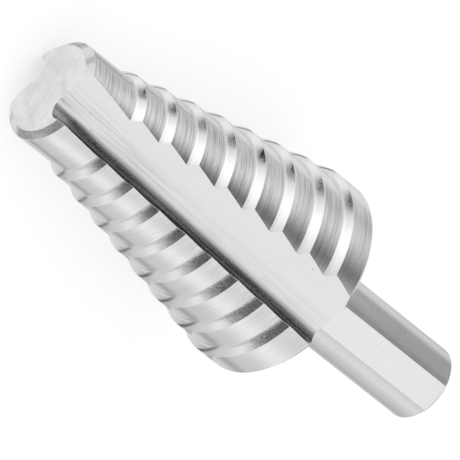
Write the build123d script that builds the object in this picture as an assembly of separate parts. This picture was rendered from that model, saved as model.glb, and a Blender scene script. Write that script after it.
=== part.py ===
from build123d import *
import math
import os

# ----------------------------------------------------------------------------
# Step drill, one solid piece of high speed steel.
# It is modelled along its own axis, tip at x = 0 and shank towards +x, and is
# then laid down the way it comes to rest: one flute underneath, the tip and
# the largest step touching the table, the shank in the air.
# All lengths in millimetres, all angles in degrees.
# ----------------------------------------------------------------------------

# cutting diameters: 1/2 in to 1 in, nine steps of 1/16 in
n_steps = 9
first_dia = 12.70
dia_step = 1.5875

# lengths along the axis
tip_chamfer_len = 0.75      # conical lead on the rim of the flat tip
tip_chamfer_r = 0.60        # how much radius that lead takes off
first_corner_x = 7.89       # where the second cutting diameter starts
pitch = 4.14                # from one step corner to the next
shoulder_angle = 43.0       # cone of each shoulder, from the axis
shoulder_fillet = 0.80      # hollow radius between a land and the next shoulder
last_land_len = 3.62        # land of the largest diameter
back_bevel = 0.68           # 45 degree bevel behind the largest land

# flutes: two, half a turn apart, a flat floor that climbs towards the shank
floor_z_tip = 3.05          # height of the floor over the axis at the tip
floor_climb = 0.190         # climb of the floor for each mm along the axis
flute_drift = 0.0155        # sideways run of the flute for each mm
flute_fillet = 1.485        # radius between the floor and the cutting face
fillet_centre_y = 0.888     # place of that radius at the tip
rake_lean = 28.3            # lean of the cutting face over the flute

# shank: 3/8 in round with three flats
shank_dia = 9.525
shank_end_x = 64.80
shank_chamfer = 0.50
flat_depth = 0.385
flat_start_x = 43.2
flat_roll = 16.1            # first flat, from the flute floor's normal
neck_fillet = 0.60          # between the back of the body and the shank

crown = 0.012               # how far each ground cone bulges at its middle

# the way it lies
# it stands on three corners: the cutting corner and the heel corner of the
# largest step beside the lower flute, and the cutting corner of the tip
rest_roll = 19.713          # about its own axis
rest_tilt = -9.538          # tip down, shank up

os.makedirs("parts", exist_ok=True)


def radius(k):
    return (first_dia + dia_step * k) / 2.0


def corner_x(k):
    return tip_chamfer_len if k == 0 else first_corner_x + (k - 1) * pitch


last_x = corner_x(n_steps - 1) + last_land_len
body_x = last_x + back_bevel
shank_r = shank_dia / 2.0
slope = math.tan(math.radians(shoulder_angle))


def rounded(p, corner, q, rad):
    """Points of the arc of radius rad that rounds corner between p and q."""
    c = Vector(*corner)
    u = (Vector(*p) - c).normalized()
    v = (Vector(*q) - c).normalized()
    half = u.get_angle(v) / 2.0
    reach = rad / math.tan(math.radians(half))
    mid = (u + v).normalized()
    far = rad / math.sin(math.radians(half)) - rad
    return c + u * reach, c + mid * far, c + v * reach


def crowned(p, q):
    """A ground cone's line from p to q, very slightly bulged outwards."""
    u = (q - p).normalized()
    out = Vector(-u.Y, u.X, 0)
    if out.Y < 0:
        out = out * -1
    return Edge.make_three_point_arc(p, (p + q) * 0.5 + out * crown, q)


# half profile of the turned blank, in the plane of x and radius: the point,
# the radius that rounds it, and whether the line that leads to it is a cone
nodes = [((0.0, 0.0), None, False),
         ((0.0, radius(0) - tip_chamfer_r), None, False),
         ((tip_chamfer_len, radius(0)), None, True)]
for k in range(1, n_steps):
    rise = radius(k) - radius(k - 1)
    nodes.append(((corner_x(k) - rise / slope, radius(k - 1)), shoulder_fillet, False))
    nodes.append(((corner_x(k), radius(k)), None, True))
nodes += [((last_x, radius(n_steps - 1)), None, False),
          ((body_x, radius(n_steps - 1) - back_bevel), None, True),
          ((body_x, shank_r), neck_fillet, False),
          ((shank_end_x - shank_chamfer, shank_r), None, False),
          ((shank_end_x, shank_r - shank_chamfer), None, True),
          ((shank_end_x, 0.0), None, False)]

edges = []
last = Vector(*nodes[0][0])
for i in range(1, len(nodes)):
    pt, rad, cone = nodes[i]
    if rad is None:
        here = Vector(*pt)
        edges.append(crowned(last, here) if cone else Edge.make_line(last, here))
        last = here
    else:
        a, m, b = rounded(nodes[i - 1][0], pt, nodes[i + 1][0], rad)
        edges.append(Edge.make_line(last, a))
        edges.append(Edge.make_three_point_arc(a, m, b))
        last = b
edges.append(Edge.make_line(last, Vector(*nodes[0][0])))
blank = revolve(make_face(Wire(edges)), Axis.X, 360)

# section of a flute across the axis, at x = 0; local (u, v) are (y, z)
lean = math.radians(rake_lean)
cy = fillet_centre_y
cz = floor_z_tip + flute_fillet
tangent = (cy - flute_fillet * math.cos(lean), cz + flute_fillet * math.sin(lean))
top_z = 26.0
top = (tangent[0] + (top_z - tangent[1]) * math.tan(lean), top_z)
half_way = math.radians(225.0 - rake_lean / 2.0)
mid = (cy + flute_fillet * math.cos(half_way), cz + flute_fillet * math.sin(half_way))
far_y = 30.0
section_plane = Plane(origin=(0, 0, 0), x_dir=(0, 1, 0), z_dir=(1, 0, 0))


def on_section(p):
    return section_plane.from_local_coords(Vector(p[0], p[1], 0))


flute_wire = Wire([
    Edge.make_line(on_section((far_y, floor_z_tip)), on_section((cy, floor_z_tip))),
    Edge.make_three_point_arc(on_section((cy, floor_z_tip)), on_section(mid), on_section(tangent)),
    Edge.make_line(on_section(tangent), on_section(top)),
    Edge.make_line(on_section(top), on_section((far_y, top_z))),
    Edge.make_line(on_section((far_y, top_z)), on_section((far_y, floor_z_tip))),
])
run = Vector(1.0, flute_drift, floor_climb)
start_x = -2.0
flute = Face(flute_wire).moved(Location(run * start_x))
flute = extrude(flute, amount=(body_x + 3.0 - start_x) * run.length, dir=run.normalized())
drill = blank - flute - flute.rotate(Axis.X, 180)

# three flats on the shank
flat_r = shank_r - flat_depth
flat_len = shank_end_x + 1.0 - flat_start_x
for k in range(3):
    cutter = Pos(flat_start_x + flat_len / 2.0, 0, flat_r + 3.0) * Box(flat_len, 12.0, 6.0)
    drill = drill - cutter.rotate(Axis.X, -flat_roll + 120.0 * k)

drill = drill.rotate(Axis.X, rest_roll)
drill = drill.rotate(Axis.Y, rest_tilt)
box = drill.bounding_box()
drill = drill.moved(Location((-(box.min.X + box.max.X) / 2.0,
                              -(box.min.Y + box.max.Y) / 2.0,
                              -box.min.Z)))

export_step(drill.solid(), "parts/step_drill.step")
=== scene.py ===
import bpy
import math
import mathutils
import mathutils.geometry
import numpy as np
from mathutils import Matrix, Vector


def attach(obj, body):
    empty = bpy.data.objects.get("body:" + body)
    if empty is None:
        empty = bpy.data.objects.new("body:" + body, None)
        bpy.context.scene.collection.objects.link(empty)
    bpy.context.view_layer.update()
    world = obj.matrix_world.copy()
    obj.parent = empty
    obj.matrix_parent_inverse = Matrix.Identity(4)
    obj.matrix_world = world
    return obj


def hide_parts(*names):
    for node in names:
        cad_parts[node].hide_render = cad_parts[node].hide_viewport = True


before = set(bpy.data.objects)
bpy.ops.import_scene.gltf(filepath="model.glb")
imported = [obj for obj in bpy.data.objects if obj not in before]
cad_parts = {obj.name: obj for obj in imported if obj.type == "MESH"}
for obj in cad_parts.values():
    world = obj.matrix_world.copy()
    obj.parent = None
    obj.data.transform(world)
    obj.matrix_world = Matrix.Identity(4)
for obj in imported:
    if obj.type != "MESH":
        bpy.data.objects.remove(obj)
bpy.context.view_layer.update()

# ----------------------------------------------------------------------------
# The drill's own numbers, in millimetres: tip at x = 0, shank towards +x.
# They follow part.py, with the finer things the CAD leaves out: the shoulders
# back off behind each cutting edge, every edge has its small ground bevel.
# ----------------------------------------------------------------------------
N_STEPS = 9
FIRST_R, STEP_R = 6.35, 0.79375
FIRST_CORNER, PITCH = 7.89, 4.14
SHOULDER = math.radians(43.0)
HOLLOW = 0.80
LAST_X, BODY_X, BACK_BEVEL = 40.49, 41.17, 0.68
FLOOR_Z, CLIMB, DRIFT = 3.05, 0.190, 0.0155
HOLE_R, HOLE_Y, LEAN = 1.485, 0.888, math.radians(28.3)
BACK_OFF = 0.1835            # shoulders: mm of run towards the shank per radian
TIP_X, TIP_BACK_OFF = 0.905, -0.2228
FACE_R, FACE_BACK_OFF = 5.75, -0.27
SHANK_R, SHANK_END, SHANK_CHAMFER = 4.74, 64.80, 0.50
FLAT_R, FLAT_X, FLAT_ROLL = 4.3775, 43.2, math.radians(16.1)
NECK = 0.60

TURN = np.array([[0.9861759209102442, -0.05589265159110272, -0.1559905911103214],
                 [0.0, 0.9413940360911001, -0.33730886263498705],
                 [0.1657016988954304, 0.33264587824024544, 0.9283801304815522]])
SHIFT = np.array([-31.860984325505555, 0.0, 5.807607837117686])


def radius(k):
    return FIRST_R + STEP_R * k


# ----------------------------------------------------------------------------
# Half profile as stations: place along x and how it runs with the angle past
# the cutting edge, radius and how it runs, direction of the profile there.
# ----------------------------------------------------------------------------
class Station:
    def __init__(self, a, b, r, rb, t, tag, place):
        self.a, self.b, self.r, self.rb, self.t, self.tag = a, b, r, rb, t, tag
        self.place = place


def unit(v):
    v = np.array(v, float)
    return v / np.linalg.norm(v)


stations = []          # tag names the strip that starts at the station
E = 0.035              # half width of a crisp ground corner


def add(a, b, r, rb, t, tag, place=0.0):
    """place: 0 to 0.6 along a land, to 0.75 in the hollow behind it, to 1 up the shoulder."""
    stations.append(Station(a, b, r, rb, t, tag, place))


RIM = 0.05
# the lead on the rim of the tip
for f, tag in ((0.05, "lead"), (0.5, "lead"), (0.95, "corner")):
    add(TIP_X * f, TIP_BACK_OFF * f, FACE_R + (FIRST_R - FACE_R) * f,
        FACE_BACK_OFF * (1 - f), None, tag)

hollow_reach = HOLLOW * math.tan(SHOULDER / 2)
rise = STEP_R
shoulder_run = rise / math.tan(SHOULDER)
cs, sn = math.cos(SHOULDER), math.sin(SHOULDER)
for k in range(N_STEPS):
    r = radius(k) - (0.0012 if k == N_STEPS - 1 else 0.0)
    if k == 0:
        x0, b0 = TIP_X + E, TIP_BACK_OFF
    else:
        x0, b0 = FIRST_CORNER + (k - 1) * PITCH + E, BACK_OFF
    if k < N_STEPS - 1:
        corner = FIRST_CORNER + k * PITCH
        x1, b1 = corner - shoulder_run - hollow_reach, BACK_OFF
    else:
        x1, b1 = LAST_X - E, 0.0
    n = max(4, int(round((x1 - x0) / 0.42)))
    for i in range(n + (1 if k == N_STEPS - 1 else 0)):
        f = i / n
        add(x0 + (x1 - x0) * f, b0 + (b1 - b0) * f, r, 0.0, (1.0, 0.0), "land", 0.6 * f)
    if k < N_STEPS - 1:
        n = 7
        for i in range(n):
            g = SHOULDER * i / n
            add(x1 + HOLLOW * math.sin(g), BACK_OFF, r + HOLLOW * (1 - math.cos(g)), 0.0,
                (math.cos(g), math.sin(g)), "hollow", 0.6 + 0.15 * i / n)
        xs, rs = x1 + HOLLOW * sn, r + HOLLOW * (1 - cs)
        xe, re = corner - E * cs, radius(k + 1) - E * sn
        n = 3
        for i in range(n + 1):
            f = i / n
            add(xs + (xe - xs) * f, BACK_OFF, rs + (re - rs) * f, 0.0, (cs, sn),
                "shoulder" if i < n else "corner", 0.75 + 0.25 * f)
stations[-1].tag = "corner"
r_last = radius(N_STEPS - 1)
q = math.sqrt(0.5)
for f, tag in ((0.06, "bevel"), (0.5, "bevel"), (0.94, "corner")):
    add(LAST_X + BACK_BEVEL * f, 0.0, r_last - BACK_BEVEL * f, 0.0, (q, -q), tag)

# ----------------------------------------------------------------------------
# The flute's section at x: floor, round bottom, cutting face.
# ----------------------------------------------------------------------------
ARC = HOLE_R * (math.pi / 2 + math.pi / 2 - LEAN - 0.0)
ARC_SWEEP = math.radians(270.0) - (math.pi - LEAN)
ARC = HOLE_R * ARC_SWEEP


def section(s, x):
    """Point (y, z) and unit tangent of the section at arc length s past the end of the flat floor; s < 0 lies on the floor."""
    oy, oz = DRIFT * x, FLOOR_Z + CLIMB * x
    if s <= 0:
        return (HOLE_Y + oy - s, oz), (-1.0, 0.0)
    if s < ARC:
        a = math.radians(270.0) - s / HOLE_R
        return ((HOLE_Y + oy + HOLE_R * math.cos(a), oz + HOLE_R + HOLE_R * math.sin(a)),
                (math.sin(a), -math.cos(a)))
    a = math.pi - LEAN
    u = s - ARC
    return ((HOLE_Y + oy + HOLE_R * math.cos(a) + u * math.sin(LEAN),
             oz + HOLE_R + HOLE_R * math.sin(a) + u * math.cos(LEAN)),
            (math.sin(LEAN), math.cos(LEAN)))


def cut_end(x, r):
    """Arc length at which the section leaves the material of radius r on the cutting side."""
    lo, hi = HOLE_R * 1.2, 12.0
    for _ in range(46):
        mid = (lo + hi) / 2
        (y, z), _t = section(mid, x)
        if y * y + z * z < r * r:
            lo = mid
        else:
            hi = mid
    return (lo + hi) / 2


def edge_angle(x, r):
    (y, z), _t = section(cut_end(x, r), x)
    return math.atan2(y, z)


def heel_angle(st, start):
    """Roll angle of the heel beside flute 1, for the land that starts at start + half a turn."""
    ph = 0.8
    for _ in range(60):
        past = start + math.pi - ph
        x, r = st.a + st.b * past, st.r + st.rb * past
        new = math.acos(max(-1.0, min(1.0, (FLOOR_Z + CLIMB * x) / r)))
        if abs(new - ph) < 1e-12:
            break
        ph = new
    return ph


N_LAND, N_FLOOR, N_ARC, N_WALL = 72, 12, 18, 5


def wobble(x, seed):
    """A small repeatable unevenness along an edge."""
    return (math.sin(3.1 * x + seed) + 0.7 * math.sin(7.3 * x + 2.1 * seed)
            + 0.5 * math.sin(13.7 * x + 3.7 * seed)) / 2.2


def turned(v):
    """The same thing half a turn round the drill's axis."""
    v = np.array(v)
    return np.array([v[0], -v[1], -v[2]])


def tangent_of(st, past):
    if st.t is not None:
        return st.t
    dx = TIP_X + TIP_BACK_OFF * past
    dr = FIRST_R - (FACE_R + FACE_BACK_OFF * past)
    return tuple(unit((dx, dr)))


def half_loop(st, j, shrink_cut, shrink_heel):
    """Half the outline at a station: the land from flute 1's cutting edge down to flute 2's heel, then flute 2 up to its cutting edge.
    Gives points, normals, a part name for the piece of outline after each point, and two pattern coordinates."""
    start = edge_angle(st.a, st.r)
    heel = heel_angle(st, start) - math.pi
    pts, nrm, part, uv, place = [], [], [], [], []
    b_cut = shrink_cut / st.r
    b_heel = shrink_heel / st.r
    hi, lo = start - b_cut, heel + b_heel
    for i in range(N_LAND + 1):
        f = i / N_LAND
        ph = hi + (lo - hi) * f
        past = start - ph
        x, r = st.a + st.b * past, st.r + st.rb * past
        tx, tr = tangent_of(st, past)
        sp, cp = math.sin(ph), math.cos(ph)
        along = np.array([tx, tr * sp, tr * cp])
        # d/d(past): ph falls as past grows
        across = np.array([st.b, st.rb * sp - r * cp, st.rb * cp + r * sp])
        n = np.cross(across, along)
        n = n / np.linalg.norm(n)
        if n[1] * sp + n[2] * cp < 0 and abs(tx) > 0.2:
            n = -n
        pts.append(np.array([x, r * sp, r * cp]))
        nrm.append(n)
        part.append("land")
        uv.append((ph * r, x))
        place.append((math.degrees(past), st.place, x))
    part[-1] = "heel_bevel"
    # flute 2 is flute 1 half a turn on: worked out for flute 1, then turned
    past_h = start - heel
    x_h, r_h = st.a + st.b * past_h, st.r + st.rb * past_h
    x_c = st.a
    y_h = math.sqrt(max(r_h * r_h - (FLOOR_Z + CLIMB * x_h) ** 2, 0.0))
    s_h = -(y_h - HOLE_Y - DRIFT * x_h)
    s_c = cut_end(x_c, st.r)
    s0, s1 = s_h + shrink_heel * 1.3, s_c - shrink_cut * 1.1
    s_arc = min(ARC, s1 - 0.22)
    marks = [s0 + (0 - s0) * i / N_FLOOR for i in range(N_FLOOR)]
    marks += [s_arc * i / N_ARC for i in range(N_ARC)]
    marks += [s_arc + (s1 - s_arc) * i / N_WALL for i in range(N_WALL + 1)]
    for i, s in enumerate(marks):
        x = x_h + (x_c - x_h) * (s - s_h) / (s_c - s_h)
        (y, z), (ty, tz) = section(s, x)
        run = np.array([1.0, DRIFT, CLIMB])
        n = np.cross(np.array([0.0, ty, tz]), run)
        n = n / np.linalg.norm(n)
        if s <= 0 and n[2] < 0:
            n = -n
        pts.append(turned((x, y, z)))
        nrm.append(turned(n))
        part.append("floor" if i < N_FLOOR else "round" if i < N_FLOOR + N_ARC else "wall")
        uv.append((s, x))
        place.append((s, st.place, x))
    part[-1] = "cut_bevel"
    return pts, nrm, part, uv, place


# check of the sign of the flute's normal: tangent x run, with the tangent
# pointing from floor to cutting face; on the floor it has to point up
_n = np.cross(np.array([0.0, -1.0, 0.0]), np.array([1.0, DRIFT, CLIMB]))
FLUTE_SIGN = 1.0 if _n[2] > 0 else -1.0


def whole_loop(st, j):
    w = 0.050 + 0.014 * wobble(st.a, 1.0)
    h = 0.030 + 0.008 * wobble(st.a, 2.0)
    pts, nrm, part, uv, place = half_loop(st, j, max(w, 0.012), max(h, 0.012))
    m = N_LAND + 1
    nrm = nrm[:m] + [v * (FLUTE_SIGN if i >= N_FLOOR else 1.0) if FLUTE_SIGN < 0 else v
                     for i, v in enumerate(nrm[m:])]
    second = [turned(p) for p in pts]
    second_n = [turned(p) for p in nrm]
    return (np.array(pts + second), np.array(nrm + second_n), part + part,
            uv + [(u + 200.0, v) for u, v in uv], place + place)


class Builder:
    def __init__(self):
        self.co, self.no, self.faces, self.mat, self.uv, self.place = [], [], [], [], [], []

    def ring(self, pts, nrm, place=None):
        first = len(self.co)
        self.co += [tuple(p) for p in pts]
        self.no += [tuple(p) for p in nrm]
        self.place += place if place else [(0.0, 0.0, p[0]) for p in pts]
        return first

    def face(self, ids, mat, uvs):
        self.faces.append(tuple(ids))
        self.mat.append(mat)
        self.uv += list(uvs)


LAND, SHOULDER_M, FLUTE, WALL_M, TIP, LEAD, SHANK, FLAT, END, EDGE = range(10)
b = Builder()
rings = []
for j, st in enumerate(stations):
    pts, nrm, part, uv, place = whole_loop(st, j)
    rings.append((b.ring(pts, nrm, place), part, uv, pts))
N = len(rings[0][1])


def strip_material(tag, part):
    if part in ("heel_bevel", "cut_bevel"):
        return EDGE
    if part in ("floor", "round"):
        return FLUTE
    if part == "wall":
        return WALL_M
    return {"lead": LEAD, "land": LAND, "hollow": SHOULDER_M, "shoulder": SHOULDER_M,
            "corner": EDGE, "bevel": LEAD}[tag]


for j in range(len(stations) - 1):
    f0, part, uv0, _p0 = rings[j]
    f1, _part, uv1, _p1 = rings[j + 1]
    for i in range(N):
        k = (i + 1) % N
        m = strip_material(stations[j].tag, part[i])
        u0, u1 = uv0[i], uv0[k]
        w0, w1 = uv1[i], uv1[k]
        if part[i] in ("heel_bevel", "cut_bevel"):
            u1 = (u0[0] + 0.05, u0[1])
            w1 = (w0[0] + 0.05, w0[1])
        b.face((f0 + i, f1 + i, f1 + k, f0 + k), m, (u0, w0, w1, u1))


def inset(pts, nrm, amount):
    """The outline moved into the metal in its own plane, less so beside its corners."""
    n = nrm[:, 1:] / np.maximum(np.linalg.norm(nrm[:, 1:], axis=1, keepdims=True), 1e-9)
    by = np.full(len(pts), amount)
    half = len(pts) // 2
    for c in (0, N_LAND, N_LAND + 1, half - 1):
        by[[c, c + half]] = amount * 0.22
    # the straight runs are bowed by a hair, so that no three points lie on a line
    for first, many in ((N_LAND + 1, N_FLOOR), (N_LAND + 1 + N_FLOOR + N_ARC, N_WALL)):
        for i in range(1, many):
            by[[first + i, first + i + half]] += 4e-4 * math.sin(math.pi * i / many)
    out = pts.copy()
    out[:, 1:] -= n * by[:, None]
    return out


def fill(ring_ids, mat):
    """Closes a flat outline with triangles."""
    flat = [Vector((b.co[v][1], b.co[v][2])) for v in ring_ids]
    got = mathutils.geometry.delaunay_2d_cdt(
        flat, [], [list(range(len(flat)))], 1, 1e-7)
    if len(got[0]) != len(flat):
        raise ValueError("an end outline crosses itself")
    back_to = [src[0] for src in got[3]]
    turn = None
    for tri in got[2]:
        ids = [ring_ids[back_to[v]] for v in tri]
        # the same sense as the outline itself
        p = [b.co[v] for v in ids]
        area = (p[1][1] - p[0][1]) * (p[2][2] - p[0][2]) - (p[2][1] - p[0][1]) * (p[1][2] - p[0][2])
        if turn is None:
            q0 = [b.co[v] for v in ring_ids]
            whole = sum(q0[i][1] * q0[(i + 1) % len(q0)][2] - q0[(i + 1) % len(q0)][1] * q0[i][2]
                        for i in range(len(q0)))
            turn = whole > 0
        if (area > 0) != turn:
            ids.reverse()
        b.face(ids, mat, [(b.co[v][1], b.co[v][2]) for v in ids])


# tip: a small bevel all round, then the flat face
first_pts = rings[0][3]
cap = inset(first_pts, np.array(b.no[:N]), 0.045)
cap[:, 0] = 0.003
cap_first = b.ring(cap, np.tile((-1.0, 0.0, 0.0), (N, 1)))
f1 = rings[0][0]
for i in range(N):
    k = (i + 1) % N
    b.face((cap_first + i, f1 + i, f1 + k, cap_first + k), EDGE,
           ((i * 0.1, 0), (i * 0.1, 0.05), (i * 0.1 + 0.1, 0.05), (i * 0.1 + 0.1, 0)))
fill(list(range(cap_first, cap_first + N)), TIP)

# back of the body: bevel round the rim, then the ring down to the shank
last_first, _part, _uv, last_pts = rings[-1]
back = inset(last_pts, np.array(b.no[last_first:last_first + N]), 0.04)
back[:, 0] = BODY_X
back_first = b.ring(back, np.tile((1.0, 0.0, 0.0), (N, 1)))
for i in range(N):
    k = (i + 1) % N
    b.face((last_first + i, back_first + i, back_first + k, last_first + k), EDGE,
           ((i * 0.1, 0), (i * 0.1, 0.05), (i * 0.1 + 0.1, 0.05), (i * 0.1 + 0.1, 0)))

# shank: one outline with three flats, read at fixed shares of round and flat
N_FLAT, N_ROUND, SOFT = 14, 26, 0.004


def shank_angles(r):
    half = math.acos(min(1.0, FLAT_R / r)) if r > FLAT_R else 0.0
    half = max(half, 0.02)
    out = []
    for k in range(3):
        mid = FLAT_ROLL - k * math.radians(120.0)
        nxt = mid - math.radians(120.0)
        a0, a1 = mid + half - SOFT, mid - half + SOFT
        for i in range(N_FLAT):
            out.append((a0 + (a1 - a0) * i / (N_FLAT - 1), "flat" if i < N_FLAT - 1 else "edge", k))
        c0, c1 = mid - half - SOFT, nxt + half + SOFT
        for i in range(N_ROUND):
            out.append((c0 + (c1 - c0) * i / (N_ROUND - 1), "round" if i < N_ROUND - 1 else "edge", k))
    return out


def shank_ring(x, r, t, cut):
    """cut runs from 0, where the shank is still round, to 1, where its flats are full."""
    pts, nrm, part, uv = [], [], [], []
    tx, tr = t
    for i, (ph, name, k) in enumerate(shank_angles(SHANK_R if r > FLAT_R + 0.02 and False else max(r, FLAT_R + 0.0005))):
        sp, cp = math.sin(ph), math.cos(ph)
        within = i % (N_FLAT + N_ROUND) < N_FLAT
        mid = FLAT_ROLL - k * math.radians(120.0)
        rr = r
        n = unit((-tr, tx * sp, tx * cp))
        if within and cut > 0:
            flat = FLAT_R / math.cos(ph - mid)
            if flat < r:
                rr = r + (flat - r) * cut
            if cut >= 1:
                n = np.array([0.0, math.sin(mid), math.cos(mid)])
        pts.append(np.array([x, rr * sp, rr * cp]))
        nrm.append(n)
        part.append(name if name == "edge" else ("flat" if within else "round"))
        uv.append((ph * SHANK_R, x))
    return np.array(pts), np.array(nrm), part, uv


shank = []
for i in range(6):
    g = math.radians(90.0 * i / 5)
    x = BODY_X + NECK * (1 - math.cos(g))
    r = SHANK_R + NECK * (1 - math.sin(g))
    shank.append((x, r, (math.sin(g), -math.cos(g)), 0.0, "neck"))
shank.append((BODY_X + NECK + 0.5, SHANK_R, (1.0, 0.0), 0.0, "neck"))
shank.append((FLAT_X - 0.02, SHANK_R, (1.0, 0.0), 0.0, "runout"))
shank.append((FLAT_X + 0.06, SHANK_R, (1.0, 0.0), 1.0, "shank"))
n = 20
for i in range(1, n + 1):
    f = i / n
    x = FLAT_X + 0.06 + (SHANK_END - SHANK_CHAMFER - 0.05 - FLAT_X - 0.06) * f
    shank.append((x, SHANK_R, (1.0, 0.0), 1.0, "shank" if i < n else "round_over"))
for i in range(1, 6):
    g = math.radians(45.0 * i / 5)
    rr = 0.22
    shank.append((SHANK_END - SHANK_CHAMFER - 0.05 + rr * math.sin(g) * 0.9, SHANK_R - rr * (1 - math.cos(g)),
                  (math.cos(g), -math.sin(g)), 1.0, "round_over" if i < 5 else "chamfer"))
x_now, r_now = shank[-1][0], shank[-1][1]
for f in (0.5, 0.9):
    shank.append((x_now + (SHANK_END - x_now) * f, r_now - (SHANK_END - x_now) * f, (q, -q), 1.0,
                  "chamfer" if f < 0.9 else "corner"))
end_r = r_now - (SHANK_END - x_now) - 0.05

shank_rings = []
for x, r, t, cut, tag in shank:
    pts, nrm, part, uv = shank_ring(x, r, t, cut)
    shank_rings.append((b.ring(pts, nrm), part, uv, tag, pts))
NS = len(shank_rings[0][1])
for j in range(len(shank_rings) - 1):
    f0, part0, uv0, tag, _p = shank_rings[j]
    f1, part, uv1, _t, _p = shank_rings[j + 1]
    for i in range(NS):
        k = (i + 1) % NS
        name = part[i]
        if tag == "neck":
            m = END if j < 5 else SHANK
        elif tag in ("runout", "round_over", "chamfer", "corner"):
            m = EDGE if tag == "corner" else (FLAT if name == "flat" and tag != "chamfer" else SHANK)
        else:
            m = FLAT if name == "flat" else (SHANK if name == "round" else EDGE)
        u1, w1 = uv0[k], uv1[k]
        if k == 0:
            u1 = (u1[0] - 2 * math.pi * SHANK_R, u1[1])
            w1 = (w1[0] - 2 * math.pi * SHANK_R, w1[1])
        b.face((f0 + i, f1 + i, f1 + k, f0 + k), m, (uv0[i], uv1[i], w1, u1))

# flat end of the shank
f0 = shank_rings[-1][0]
pts = shank_rings[-1][4].copy()
ang = np.arctan2(pts[:, 1], pts[:, 2])
end = np.stack([np.full(NS, SHANK_END), end_r * np.sin(ang), end_r * np.cos(ang)], 1)
e0 = b.ring(end, np.tile((1.0, 0.0, 0.0), (NS, 1)))
for i in range(NS):
    k = (i + 1) % NS
    b.face((f0 + i, e0 + i, e0 + k, f0 + k), EDGE, ((i * 0.1, 0), (i * 0.1, 0.05), (i * 0.1 + 0.1, 0.05), (i * 0.1 + 0.1, 0)))
c = b.ring([(SHANK_END, 0.0, 0.0)], [(1.0, 0.0, 0.0)])
inner = b.ring(end * np.array([1.0, 0.5, 0.5]), np.tile((1.0, 0.0, 0.0), (NS, 1)))
for i in range(NS):
    k = (i + 1) % NS
    b.face((e0 + i, inner + i, inner + k, e0 + k), END,
           [(b.co[v][1], b.co[v][2]) for v in (e0 + i, inner + i, inner + k, e0 + k)])
    b.face((inner + i, c, inner + k), END, [(b.co[v][1], b.co[v][2]) for v in (inner + i, c, inner + k)])

# the ring between the back rim and the neck: both outlines by roll angle
neck_first = shank_rings[0][0]
neck_pts = shank_rings[0][4]


def in_order(first, pts, start):
    """An outline in its own order, falling in roll angle, with angles that never turn back."""
    a = np.unwrap(np.arctan2(pts[:, 1], pts[:, 2]))
    if a[-1] > a[0]:
        raise ValueError("an outline at the back runs the wrong way")
    a = a - a[0] + start
    a = np.minimum.accumulate(a)
    return [(a[i], first + i) for i in range(len(pts))]


a_outer = math.atan2(back[0][1], back[0][2])
a_inner = math.atan2(neck_pts[0][1], neck_pts[0][2])
outer, innr = in_order(back_first, back, a_outer), in_order(neck_first, neck_pts, a_inner)
# the inner outline starts at the point next below the outer one's start
while innr[0][0] > outer[0][0] + 1e-9:
    innr = innr[1:] + [(innr[0][0] - 2 * math.pi, innr[0][1])]
i = k = 0
total = len(outer) + len(innr)
for _ in range(total):
    o0, o1 = outer[i % len(outer)], outer[(i + 1) % len(outer)]
    n0, n1 = innr[k % len(innr)], innr[(k + 1) % len(innr)]
    ao = o1[0] - 2 * math.pi * ((i + 1) // len(outer))
    an = n1[0] - 2 * math.pi * ((k + 1) // len(innr))
    if k >= len(innr) or (i < len(outer) and ao >= an):
        ids = (o0[1], n0[1], o1[1])
        i += 1
    else:
        ids = (o0[1], n0[1], n1[1])
        k += 1
    b.face(ids, END, [(b.co[v][1], b.co[v][2]) for v in ids])

# ----------------------------------------------------------------------------
# Blender mesh, in metres, in the row frame
# ----------------------------------------------------------------------------
co = (np.array(b.co) @ TURN.T + SHIFT) * 0.001
no = np.array(b.no) @ TURN.T
faces, uvs, at = [], [], 0
for f in b.faces:
    n = len(f)
    faces.append(tuple(reversed(f)))
    uvs += list(reversed(b.uv[at:at + n]))
    at += n
me = bpy.data.meshes.new("step_drill_body")
me.from_pydata(co.tolist(), [], faces)
me.polygons.foreach_set("material_index", b.mat)
me.polygons.foreach_set("use_smooth", [True] * len(faces))
layer = me.uv_layers.new(name="Grain")
layer.data.foreach_set("uv", np.array(uvs, np.float32).ravel())
me.attributes.new("place", "FLOAT_VECTOR", "POINT").data.foreach_set(
    "vector", np.array(b.place, np.float32).ravel())
me.update()
me.normals_split_custom_set_from_vertices(no.tolist())
body = bpy.data.objects.new("step_drill_body", me)
bpy.context.scene.collection.objects.link(body)

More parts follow.
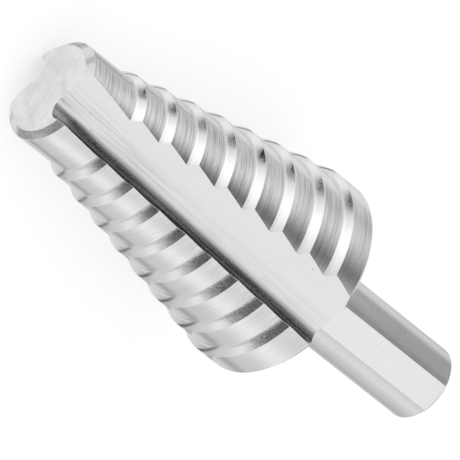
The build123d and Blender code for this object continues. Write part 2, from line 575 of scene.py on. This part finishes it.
# ----------------------------------------------------------------------------
# Materials
# ----------------------------------------------------------------------------
class Finish:
    """One material of ground or turned steel, with a few helpers to lay out its nodes."""

    def __init__(self, name):
        self.mat = bpy.data.materials.new(name)
        self.mat.use_nodes = True
        self.tree = self.mat.node_tree
        self.bsdf = self.tree.nodes["Principled BSDF"]
        self.bsdf.inputs["Metallic"].default_value = 1.0
        me.materials.append(self.mat)
        self.mat.pass_index = len(me.materials)
        uv = self.tree.nodes.new("ShaderNodeUVMap")
        uv.uv_map = "Grain"
        self.grain = uv.outputs["UV"]
        at = self.tree.nodes.new("ShaderNodeAttribute")
        at.attribute_name = "place"
        split = self.tree.nodes.new("ShaderNodeSeparateXYZ")
        self.link(at.outputs["Vector"], split.inputs[0])
        self.past, self.along, self.x = split.outputs
        cut = self.tree.nodes.new("ShaderNodeSeparateXYZ")
        self.link(self.grain, cut.inputs[0])
        self.u, self.v = cut.outputs[0], cut.outputs[1]

    def link(self, a, c):
        self.tree.links.new(a, c)

    def put(self, socket, value):
        if isinstance(value, (int, float)):
            socket.default_value = value
        else:
            self.link(value, socket)

    def math(self, op, a, c=0.0, d=0.0, clamp=False):
        n = self.tree.nodes.new("ShaderNodeMath")
        n.operation = op
        n.use_clamp = clamp
        self.put(n.inputs[0], a)
        self.put(n.inputs[1], c)
        self.put(n.inputs[2], d)
        return n.outputs[0]

    def mul(self, *v):
        out = v[0]
        for w in v[1:]:
            out = self.math("MULTIPLY", out, w)
        return out

    def sum(self, *v):
        out = v[0]
        for w in v[1:]:
            out = self.math("ADD", out, w)
        return out

    def step(self, v, lo, hi, out_lo=0.0, out_hi=1.0):
        n = self.tree.nodes.new("ShaderNodeMapRange")
        n.interpolation_type = "SMOOTHSTEP"
        self.put(n.inputs["Value"], v)
        flip = lo > hi
        n.inputs["From Min"].default_value = min(lo, hi)
        n.inputs["From Max"].default_value = max(lo, hi)
        n.inputs["To Min"].default_value = out_hi if flip else out_lo
        n.inputs["To Max"].default_value = out_lo if flip else out_hi
        return n.outputs[0]

    def noise(self, su, sv, seed=0.0, detail=2.0, rough=0.5, warp=0.0, source=None):
        """Noise in the grain's own millimetres: su and sv are features for each mm. Centred on 0, about -0.5 to 0.5."""
        m = self.tree.nodes.new("ShaderNodeMapping")
        self.link(source or self.grain, m.inputs["Vector"])
        m.inputs["Scale"].default_value = (su, sv, 1.0)
        m.inputs["Location"].default_value = (seed * 7.3, seed * 3.1, seed * 5.7)
        n = self.tree.nodes.new("ShaderNodeTexNoise")
        self.link(m.outputs[0], n.inputs["Vector"])
        n.inputs["Scale"].default_value = 1.0
        n.inputs["Detail"].default_value = detail
        n.inputs["Roughness"].default_value = rough
        n.inputs["Distortion"].default_value = warp
        return self.math("SUBTRACT", n.outputs["Fac"], 0.5)

    def specks(self, per_mm, size, seed=0.0, stretch=1.0):
        """Scattered small spots, 1 in the middle of each."""
        m = self.tree.nodes.new("ShaderNodeMapping")
        self.link(self.grain, m.inputs["Vector"])
        m.inputs["Scale"].default_value = (per_mm, per_mm * stretch, 1.0)
        m.inputs["Location"].default_value = (seed * 3.7, seed * 9.1, 0.0)
        n = self.tree.nodes.new("ShaderNodeTexVoronoi")
        self.link(m.outputs[0], n.inputs["Vector"])
        n.inputs["Scale"].default_value = 1.0
        spot = self.step(n.outputs["Distance"], size, size * 0.3)
        split = self.tree.nodes.new("ShaderNodeSeparateColor")
        self.link(n.outputs["Color"], split.inputs[0])
        return self.mul(spot, self.step(split.outputs[0], 0.62, 0.7))

    def colour(self, v, tint=(1.0, 1.0, 1.0)):
        n = self.tree.nodes.new("ShaderNodeCombineColor")
        v = self.math("MINIMUM", self.math("MAXIMUM", v, 0.03), 0.95)
        for i, t in enumerate(tint):
            self.put(n.inputs[i], v if t == 1.0 else self.mul(v, t))
        self.link(n.outputs[0], self.bsdf.inputs["Base Color"])

    def roughness(self, v):
        self.link(self.math("MINIMUM", self.math("MAXIMUM", v, 0.06), 0.8), self.bsdf.inputs["Roughness"])

    def bump(self, height, distance):
        n = self.tree.nodes.new("ShaderNodeBump")
        n.inputs["Strength"].default_value = 1.0
        n.inputs["Distance"].default_value = distance
        self.link(height, n.inputs["Height"])
        self.link(n.outputs[0], self.bsdf.inputs["Normal"])


MICRON = 1e-6

# the lands: fine rings round the axis, strong on the plain ground part towards
# the heel, faint on the relieved part behind the cutting edge
f = Finish("ground_land")
plain = f.step(f.past, 94.0, 100.0)
broad = f.noise(0.10, 3.0, 1.0, 2.0, 0.6)
fine = f.noise(0.15, 5.6, 2.0, 3.0, 0.65)
hair = f.noise(0.5, 11.0, 3.0, 2.0, 0.6)
cloud = f.noise(0.35, 0.5, 4.0, 3.0)
lines = f.sum(f.mul(broad, 0.7), f.mul(fine, 1.5), f.mul(hair, 0.8))
amount = f.mul(f.sum(0.16, f.mul(plain, 0.84)), f.step(f.x, 35.5, 38.0, 1.0, 0.6), f.step(f.past, 124.0, 142.0, 1.0, 0.35))
begin = f.mul(f.step(f.past, 91.0, 97.0), f.step(f.past, 116.0, 99.0), f.step(f.x, 4.0, 34.0, 0.45, 1.0))
near_edge = f.step(f.past, 10.0, 0.0)
pits = f.specks(1.1, 0.13, 1.0, 1.6)
# painted shade: a dark slanting stroke behind each step's corner, a dark reflection painted into the colour, stronger
# on the larger steps
slant = f.math("SUBTRACT", f.past, f.sum(59.0, f.mul(f.along, 26.0)))
runout = f.mul(f.step(slant, -5.0, -1.0), f.step(slant, 6.5, 2.0), f.step(f.along, 0.50, 0.28), f.step(f.x, 5.0, 20.0, 0.0, 1.0))
# the colour below carries the painted shade of that slanting stroke
f.colour(f.sum(0.79, f.mul(lines, amount, 0.74), f.mul(cloud, 0.07), f.mul(begin, f.sum(-0.10, f.mul(fine, 0.5))),
               f.mul(near_edge, fine, 0.4), f.mul(pits, -0.2), f.mul(runout, f.step(f.x, 8.0, 36.0, 0.85, 1.3), f.sum(-0.44, f.mul(fine, 0.5)))))
f.roughness(f.sum(0.19, f.mul(fine, amount, 0.26), f.mul(cloud, 0.08), f.mul(begin, 0.08), f.mul(pits, 0.2)))
f.bump(f.sum(f.mul(lines, amount), f.mul(cloud, 0.7), f.mul(pits, -0.4)), 11 * MICRON)

# the shoulders: brighter and smoother, with a dark rough spot where the
# relief grinding starts, a scuffed patch behind the cutting edge darkened with painted shade, and a wedge of painted
# shade slanting across the hollow and shoulder
f = Finish("ground_shoulder")
rings = f.noise(0.15, 7.0, 11.0, 3.0, 0.6)
grit = f.noise(5.0, 6.5, 12.0, 3.0, 0.75)
cloud = f.noise(0.5, 0.8, 13.0, 2.0)
ragged = f.noise(1.3, 1.6, 14.0, 3.0, 0.7)
at_start = f.sum(f.past, f.mul(ragged, 9.0))
each = f.sum(f.step(f.noise(0.0, 0.37, 15.0, 1.0), -0.2, 0.2, 0.45, 1.25), f.step(f.x, 20.0, 30.0, 0.0, 0.45))
begin = f.mul(f.step(at_start, 88.0, 96.0), f.step(at_start, 109.0, 100.0), each,
              f.step(f.sum(f.along, f.mul(ragged, 0.25), f.mul(f.math("ABSOLUTE", f.math("SUBTRACT", f.past, 99.0)), -0.015)), 0.66, 0.90))
# painted shade: the patch behind the cutting edge is darkened in colour; its grit, flecks, roughness and bump are
# surface texture
reach = f.sum(f.past, f.mul(ragged, 12.0), f.step(f.x, 8.0, 36.0, 3.0, -9.0))
scuff_and_painted_shade = f.mul(f.step(reach, 24.0, 3.0), f.step(f.along, 0.56, 0.70))
flecks = f.specks(2.6, 0.26, 16.0)
# painted shade: a dark slanting wedge across the hollow and shoulder, a dark reflection painted into the colour,
# stronger on the larger steps
slant = f.math("SUBTRACT", f.past, f.sum(9.0, f.mul(f.along, 60.0)))
root = f.mul(f.step(slant, -6.0, -0.5), f.step(slant, 5.0, 0.5), f.step(f.past, 38.0, 58.0), f.step(f.along, 0.56, 0.62))
f.colour(f.sum(0.83, f.mul(rings, 0.08), f.mul(cloud, 0.05), f.mul(begin, f.sum(-0.62, f.mul(grit, 1.9), f.mul(flecks, 0.35))),
               f.mul(scuff_and_painted_shade, f.sum(-0.50, f.mul(grit, 1.1), f.mul(flecks, 0.55))), f.mul(root, f.step(f.x, 8.0, 36.0, 0.85, 1.25), f.sum(-0.52, f.mul(rings, 0.6)))))
f.roughness(f.sum(0.16, f.mul(rings, 0.10), f.mul(begin, 0.25), f.mul(scuff_and_painted_shade, 0.14), f.mul(root, 0.2)))
f.bump(f.sum(f.mul(rings, 0.4), f.mul(cloud, 0.6), f.mul(begin, grit, 3.0), f.mul(scuff_and_painted_shade, grit, 1.5)), 7 * MICRON)

# the flute: milled lengthwise, floor and round bottom
f = Finish("flute_floor")
long_lines = f.noise(3.0, 0.05, 21.0, 3.0, 0.65, 0.1)
fine = f.noise(4.6, 0.10, 22.0, 2.0, 0.55)
cloud = f.noise(0.30, 0.22, 23.0, 3.0, 0.6)
grit = f.noise(7.0, 7.0, 24.0, 2.0, 0.7)
ragged = f.noise(1.2, 0.5, 25.0, 3.0, 0.7)
# painted shade: the round bottom is darkened in colour, less so at the tip where it is scuffed
round_and_painted_shade = f.mul(f.step(f.past, 0.05, 1.35), f.step(f.sum(f.v, f.mul(ragged, 3.0)), 0.6, 3.0, 0.50, 1.0))
beside = f.mul(f.step(f.past, -2.6, -0.6), f.step(f.past, 1.2, 0.2), f.step(f.v, 22.0, 3.0, 0.25, 1.0))
streak = f.step(f.noise(1.7, 0.045, 26.0, 3.0, 0.7, 0.15), -0.10, 0.12)
pits = f.mul(f.specks(0.95, 0.15, 5.0), f.step(ragged, -0.05, 0.10, 0.25, 1.0))
chips = f.mul(f.specks(3.2, 0.24, 6.0, 0.7), round_and_painted_shade)
mark = f.mul(f.specks(1.9, 0.25, 7.0, 0.6), f.step(f.past, -1.6, -0.2), f.step(f.v, 9.0, 1.0))
fan = f.mul(f.step(f.past, -3.4, -1.0), f.step(f.v, 10.0, 0.5), streak)
# the -0.68 term below is the painted shade of the round bottom
f.colour(f.sum(0.83, f.mul(long_lines, f.sum(0.035, f.mul(round_and_painted_shade, 0.40))), f.mul(beside, streak, -0.24),
               f.mul(fine, f.sum(0.02, f.mul(beside, 0.16), f.mul(round_and_painted_shade, 0.40))), f.mul(cloud, 0.06),
               f.mul(round_and_painted_shade, -0.68), f.mul(pits, -0.30), f.mul(mark, -0.36), f.mul(fan, -0.16), f.mul(chips, 0.42), f.mul(round_and_painted_shade, grit, 0.55)))
f.roughness(f.sum(0.28, f.mul(fine, 0.05), f.mul(cloud, 0.08), f.mul(round_and_painted_shade, -0.02), f.mul(pits, 0.2)))
f.bump(f.sum(f.mul(long_lines, f.sum(0.30, round_and_painted_shade)), f.mul(fine, 0.15), f.mul(cloud, 0.8), f.mul(grit, 0.10), f.mul(pits, -0.6)), 7 * MICRON)

# the cutting faces: the same pass of the cutter, darker and coarser
f = Finish("cutting_face")
long_lines = f.noise(3.2, 0.07, 31.0, 4.0, 0.7, 0.1)
fine = f.noise(13.0, 0.2, 32.0, 2.0, 0.6)
cloud = f.noise(0.5, 0.25, 33.0, 3.0, 0.6)
pits = f.specks(1.2, 0.16, 8.0)
f.colour(f.sum(0.60, f.mul(long_lines, 0.42), f.mul(fine, 0.22), f.mul(cloud, 0.14), f.mul(pits, -0.25)))
f.roughness(f.sum(0.27, f.mul(fine, 0.18), f.mul(cloud, 0.12)))
f.bump(f.sum(long_lines, f.mul(fine, 0.5), f.mul(cloud, 0.8), f.mul(pits, -0.6)), 8 * MICRON)

# the flat tip: surface ground, then handled
f = Finish("tip_face")
pass_lines = f.noise(0.45, 5.5, 41.0, 3.0, 0.65, 0.5)
cross_lines = f.noise(4.5, 0.5, 42.0, 3.0, 0.65, 0.6)
cloud = f.noise(0.34, 0.26, 43.0, 4.0, 0.6, 0.8)
grit = f.noise(5.0, 5.0, 44.0, 3.0, 0.7)
pits = f.specks(1.1, 0.12, 9.0)
f.colour(f.sum(0.88, f.mul(pass_lines, 0.22), f.mul(cross_lines, 0.16), f.mul(cloud, 0.58), f.mul(grit, 0.24), f.mul(pits, -0.38)))
f.roughness(f.sum(0.34, f.mul(pass_lines, 0.12), f.mul(cloud, 0.2), f.mul(pits, 0.15)))
f.bump(f.sum(f.mul(pass_lines, 0.8), f.mul(cross_lines, 0.6), f.mul(cloud, 3.0), f.mul(grit, 0.4), f.mul(pits, -0.6)), 9 * MICRON)

# the lead on the tip's rim and the bevel behind the largest land: mottled
# where it is relieved, clean towards the heel
f = Finish("lead")
mottle = f.noise(0.9, 2.4, 51.0, 4.0, 0.75, 0.3)
grit = f.noise(3.5, 6.0, 52.0, 3.0, 0.75)
rings = f.noise(0.3, 9.0, 53.0, 2.0, 0.6)
ragged = f.noise(1.3, 1.6, 54.0, 3.0, 0.7)
at_start = f.sum(f.past, f.mul(ragged, 9.0))
clean = f.step(at_start, 62.0, 78.0)
begin = f.mul(f.step(at_start, 90.0, 95.0), f.step(at_start, 105.0, 100.0))
rough_part = f.math("SUBTRACT", 1.0, clean)
f.colour(f.sum(0.47, f.mul(mottle, rough_part, 0.70), f.mul(grit, rough_part, 0.45), f.mul(rings, 0.10),
               f.mul(clean, 0.38), f.mul(begin, -0.24)))
f.roughness(f.sum(0.33, f.mul(mottle, -0.2), f.mul(grit, 0.16), f.mul(clean, -0.12)))
f.bump(f.mul(f.sum(f.mul(mottle, 1.3), f.mul(grit, 0.8), rings), f.sum(rough_part, 0.3)), 8 * MICRON)

# the round of the shank: turned, then rubbed dull lengthwise
f = Finish("shank_round")
rings = f.noise(0.12, 6.0, 61.0, 3.0, 0.6, 0.1)
rubs = f.noise(4.0, 0.06, 62.0, 3.0, 0.65)
cloud = f.noise(0.35, 0.2, 63.0, 3.0, 0.6)
pits = f.specks(0.9, 0.12, 10.0)
f.colour(f.sum(0.73, f.mul(rings, 0.05), f.mul(rubs, 0.08), f.mul(cloud, 0.06), f.mul(pits, -0.16)))
f.roughness(f.sum(0.29, f.mul(rings, 0.08), f.mul(rubs, 0.10), f.mul(cloud, 0.10)))
f.bump(f.sum(f.mul(rings, 0.3), f.mul(rubs, 0.5), f.mul(cloud, 0.5), f.mul(pits, -0.3)), 5 * MICRON)

# the flats of the shank: ground straight across
f = Finish("shank_flat")
across = f.noise(0.10, 5.0, 71.0, 3.0, 0.65, 0.1)
fine = f.noise(0.25, 14.0, 72.0, 2.0, 0.6)
cloud = f.noise(0.4, 0.25, 73.0, 3.0, 0.6)
pits = f.specks(0.7, 0.12, 11.0)
f.colour(f.sum(0.83, f.mul(across, 0.13), f.mul(fine, 0.09), f.mul(cloud, 0.08), f.mul(pits, -0.2)))
f.roughness(f.sum(0.31, f.mul(fine, 0.14), f.mul(cloud, 0.1)))
f.bump(f.sum(across, f.mul(fine, 0.6), f.mul(cloud, 0.6), f.mul(pits, -0.5)), 6 * MICRON)

# the back of the body and the end of the shank: turned in rings about the axis
f = Finish("turned_end")
dist = f.math("SQRT", f.sum(f.mul(f.u, f.u), f.mul(f.v, f.v)))
ring_at = f.tree.nodes.new("ShaderNodeCombineXYZ")
f.link(dist, ring_at.inputs[0])
f.link(f.mul(f.math("ARCTAN2", f.u, f.v), 0.8), ring_at.inputs[1])
rings = f.noise(5.0, 0.5, 81.0, 3.0, 0.65, 0.0, ring_at.outputs[0])
fine = f.noise(14.0, 0.8, 82.0, 2.0, 0.6, 0.0, ring_at.outputs[0])
cloud = f.noise(0.4, 0.4, 83.0, 3.0, 0.6)
pits = f.specks(0.9, 0.13, 12.0)
f.colour(f.sum(0.70, f.mul(rings, 0.22), f.mul(fine, 0.12), f.mul(cloud, 0.14), f.mul(pits, -0.25)))
f.roughness(f.sum(0.30, f.mul(fine, 0.16), f.mul(cloud, 0.12)))
f.bump(f.sum(rings, f.mul(fine, 0.6), f.mul(cloud, 0.6), f.mul(pits, -0.5)), 8 * MICRON)

# every ground edge: brighter where it is rubbed, dull where it is nicked
f = Finish("ground_edge")
nicks = f.noise(3.0, 3.0, 91.0, 3.0, 0.7)
small = f.noise(9.0, 9.0, 92.0, 2.0, 0.6)
f.colour(f.sum(0.92, f.mul(nicks, 0.5), f.mul(small, 0.25)))
f.roughness(f.sum(0.26, f.mul(nicks, -0.3), f.mul(small, 0.1)))
f.bump(f.sum(nicks, f.mul(small, 0.5)), 8 * MICRON)

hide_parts("step_drill")
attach(body, "root")

# ----------------------------------------------------------------------------
# Floor, light, camera
# ----------------------------------------------------------------------------
bpy.ops.mesh.primitive_circle_add(vertices=96, radius=4.0, fill_type="NGON", location=(0, 0, 0))
floor = bpy.context.object
floor.name = "floor"
paper = bpy.data.materials.new("floor_paper")
paper.use_nodes = True
sheet = paper.node_tree.nodes["Principled BSDF"]
sheet.inputs["Base Color"].default_value = (0.66, 0.66, 0.66, 1)
sheet.inputs["Roughness"].default_value = 0.9
sheet.inputs["Specular IOR Level"].default_value = 0.0
sheet.inputs["Emission Color"].default_value = (1, 1, 1, 1)
sheet.inputs["Emission Strength"].default_value = 0.55
floor.data.materials.append(paper)

floor.visible_glossy = False

# Two cards stand behind the shank and show only in its reflections: a grey one above, a pale one below
for name, low, high, glow in (("shank_flag", 0.004, 0.075, 0.43), ("shank_fill", -0.075, 0.001, 0.86)):
    card_mesh = bpy.data.meshes.new(name)
    card_mesh.from_pydata([(0.047, 0.060, low), (0.100, 0.050, low), (0.100, 0.050, high), (0.047, 0.060, high)], [], [(0, 1, 2, 3)])
    card = bpy.data.objects.new(name, card_mesh)
    bpy.context.scene.collection.objects.link(card)
    paint = bpy.data.materials.new(name)
    paint.use_nodes = True
    face = paint.node_tree.nodes["Principled BSDF"]
    face.inputs["Base Color"].default_value = (0, 0, 0, 1)
    face.inputs["Specular IOR Level"].default_value = 0.0
    face.inputs["Emission Color"].default_value = (1, 1, 1, 1)
    face.inputs["Emission Strength"].default_value = glow
    card_mesh.materials.append(paint)
    card.visible_camera = False
    card.visible_diffuse = False
    card.visible_shadow = False
    card.visible_transmission = False

# The studio, as soft lights and dark cards all round the drill: azimuth from +x towards +y, elevation,
# width in degrees, strength; a dark card takes light away
LIGHTS = [
    ("overhead", 0, 88, 30, 0.12),
    ("front_top", -77, 55, 20, 0.26),
    ("shank_top", -15, 62, 16, 0.30),
    ("front_side", -57, 15, 14, 0.36),
    ("left_low", -117, -10, 12, 0.26),
    ("floor_bounce", 0, -90, 40, 0.18),
    ("right_box", 134, 8, 20, 0.56),
    ("right_box_near", 103, 7, 16, 0.42),
    ("right_box_top", 99, 32, 17, 0.54),
    ("right_floor", 92, -44, 14, 0.26),
    ("back_side", 57, 12, 10, 0.10),
    ("back_dark", 58, 45, 16, -0.66),
    ("left_dark", -146, 19, 15, -0.70),
    ("right_gap", 110, -24, 9, -0.48),
    ("back_gap", 36, -34, 9, -0.40),
    ("back_low", 49, -12, 11, -0.10),
    ("front_gap", -43, -28, 6, -0.36),
    ("left_gap", -88, -46, 12, -0.22),
    ("tip_side", 180, -20, 25, 0.5),
]
AMBIENT = 0.70


def toward(az, el):
    a, e = math.radians(az), math.radians(el)
    return (math.cos(e) * math.cos(a), math.cos(e) * math.sin(a), math.sin(e))


world = bpy.data.worlds.new("studio")
bpy.context.scene.world = world
world.use_nodes = True
wt = world.node_tree
background = wt.nodes["Background"]
where = wt.nodes.new("ShaderNodeTexCoord")


def wmath(op, a, b_=None):
    n = wt.nodes.new("ShaderNodeMath")
    n.operation = op
    for i, v in enumerate((a, b_)):
        if v is None:
            continue
        if isinstance(v, (int, float)):
            n.inputs[i].default_value = v
        else:
            wt.links.new(v, n.inputs[i])
    return n


total_light = wmath("ADD", AMBIENT, 0.0)
strengths = {"ambient": total_light}
for name, az, el, width, strength in LIGHTS:
    d = wt.nodes.new("ShaderNodeVectorMath")
    d.operation = "DOT_PRODUCT"
    wt.links.new(where.outputs["Generated"], d.inputs[0])
    d.inputs[1].default_value = toward(az, el)
    sharp = 1.0 / (1.0 - math.cos(math.radians(width)))
    less = wmath("MULTIPLY", wmath("SUBTRACT", d.outputs["Value"], 1.0).outputs[0], sharp)
    lobe = wmath("EXPONENT", less.outputs[0])
    part_light = wmath("MULTIPLY", lobe.outputs[0], strength)
    strengths[name] = part_light
    total_light = wmath("ADD", total_light.outputs[0], part_light.outputs[0])
total_light = wmath("MAXIMUM", total_light.outputs[0], 0.0)
wt.links.new(total_light.outputs[0], background.inputs["Strength"])
background.inputs["Color"].default_value = (1, 1, 1, 1)
# what lies beyond the floor is plain pale paper
beyond = wt.nodes.new("ShaderNodeBackground")
beyond.inputs["Color"].default_value = (0.93, 0.93, 0.93, 1)
seen = wt.nodes.new("ShaderNodeLightPath")
choose = wt.nodes.new("ShaderNodeMixShader")
wt.links.new(seen.outputs["Is Camera Ray"], choose.inputs[0])
wt.links.new(background.outputs[0], choose.inputs[1])
wt.links.new(beyond.outputs[0], choose.inputs[2])
wt.links.new(choose.outputs[0], wt.nodes["World Output"].inputs["Surface"])

cam = bpy.data.cameras.new("camera")
camera = bpy.data.objects.new("camera", cam)
bpy.context.scene.collection.objects.link(camera)
bpy.context.scene.camera = camera
right = Vector((0.568813, 0.629376, 0.529469))
up = Vector((-0.448707, 0.776982, -0.441544))
away = Vector((-0.689285, 0.01358, 0.724363))
m = Matrix.Identity(4)
for i in range(3):
    m[i][0], m[i][1], m[i][2] = right[i], up[i], away[i]
m.translation = Vector((-0.562334, 0.011156, 0.600024))
camera.matrix_world = m
cam.sensor_width = 36.0
cam.lens = 565.997
cam.clip_start, cam.clip_end = 0.05, 50.0

bpy.context.scene.view_settings.view_transform = "Standard"
